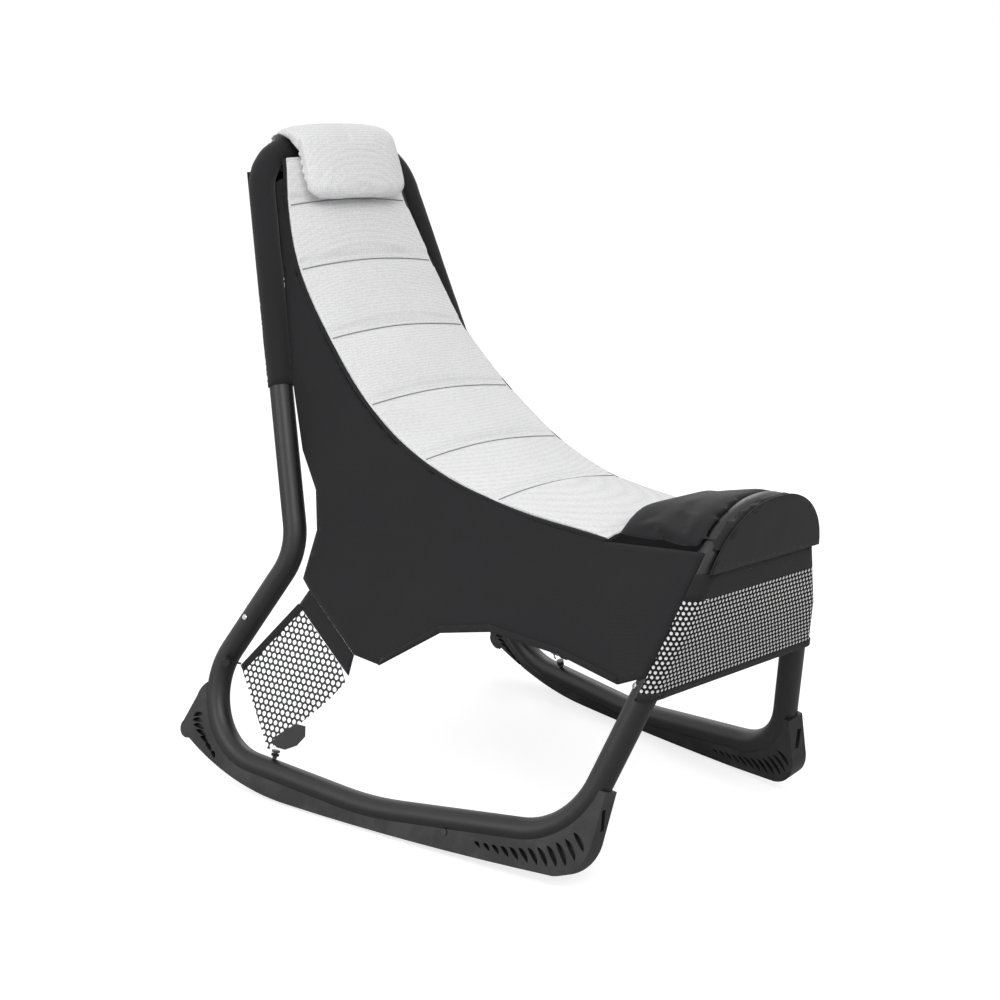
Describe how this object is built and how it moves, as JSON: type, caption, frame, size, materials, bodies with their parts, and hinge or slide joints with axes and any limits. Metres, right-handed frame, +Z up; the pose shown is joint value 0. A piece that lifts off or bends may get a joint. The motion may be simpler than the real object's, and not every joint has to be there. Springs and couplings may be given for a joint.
{
  "type": "rocking chair",
  "caption": "Tube frame floor rocking chair with a quilted sling seat, canvas sides, mesh skirts and a movable head pillow.",
  "frame": {"origin": "on the floor under the middle of the bounding box", "axes": "+Z up, the sitter looks along -Y, +X is the sitter's left"},
  "size_m": [0.6398, 0.842, 0.8874],
  "materials": {
    "painted_tube": "satin black powder coat on round steel tube",
    "moulded_plastic": "fine grained black moulding",
    "tab_plastic": "black moulded tab",
    "bright_metal": "plated steel",
    "black_canvas": "black woven polyester",
    "quilted_cloth": "white knitted spacer cloth, quilted",
    "net_cloth": "black air mesh",
    "black_tape": "black woven tape"
  },
  "bodies": {
    "chair": {"side_tube_left": "painted_tube", "side_tube_right": "painted_tube", "back_hoop": "painted_tube", "front_hoop": "painted_tube", "rocker_shoe_left": "moulded_plastic", "rocker_shoe_right": "moulded_plastic", "pull_tab_left": "tab_plastic", "pull_tab_right": "tab_plastic", "shoe_screws": "bright_metal", "flap_studs": "bright_metal", "snap_clips": "bright_metal", "side_panel_left": "black_canvas", "side_panel_right": "black_canvas", "front_panel": "black_canvas", "knee_roll": "black_canvas", "rear_yoke": "black_canvas", "seat_sling": "black_canvas", "hoop_sleeve": "black_canvas", "quilted_pad": "quilted_cloth", "mesh_flap_left": "net_cloth", "mesh_flap_right": "net_cloth", "back_mesh_panel": "net_cloth", "front_mesh": "net_cloth", "lower_binding_left": "black_tape", "lower_binding_right": "black_tape", "flap_binding_left": "black_tape", "flap_binding_right": "black_tape", "front_mesh_binding": "black_tape", "flap_loops": "black_tape", "flap_band_left": "black_tape", "flap_band_right": "black_tape", "webbing_band": "black_tape"},
    "pillow": {"head_pillow": "quilted_cloth", "pillow_back_flap": "quilted_cloth"},
    "snap_button_front_left_body": {"snap_button_front_left": "bright_metal"},
    "snap_button_front_right_body": {"snap_button_front_right": "bright_metal"},
    "snap_button_rear_left_body": {"snap_button_rear_left": "bright_metal"},
    "snap_button_rear_right_body": {"snap_button_rear_right": "bright_metal"}
  },
  "joints": [
    {"name": "snap_button_front_left_press", "type": "slide", "parent": "chair", "child": "snap_button_front_left_body", "axis": [-0.8076, -0.4247, -0.4093], "range_m": [0, 0.004], "stiffness_N_per_m": 800},
    {"name": "snap_button_front_right_press", "type": "slide", "parent": "chair", "child": "snap_button_front_right_body", "axis": [0.8076, -0.4247, -0.4093], "range_m": [0, 0.004], "stiffness_N_per_m": 800},
    {"name": "snap_button_rear_left_press", "type": "slide", "parent": "chair", "child": "snap_button_rear_left_body", "axis": [-0.9491, 0.1452, -0.2794], "range_m": [0, 0.004], "stiffness_N_per_m": 800},
    {"name": "snap_button_rear_right_press", "type": "slide", "parent": "chair", "child": "snap_button_rear_right_body", "axis": [0.9491, 0.1452, -0.2794], "range_m": [0, 0.004], "stiffness_N_per_m": 800},
    {"name": "pillow_height", "type": "slide", "parent": "chair", "child": "pillow", "axis": [0, 0.3103, 0.9506], "range_m": [0, 0.12]}
  ]
}
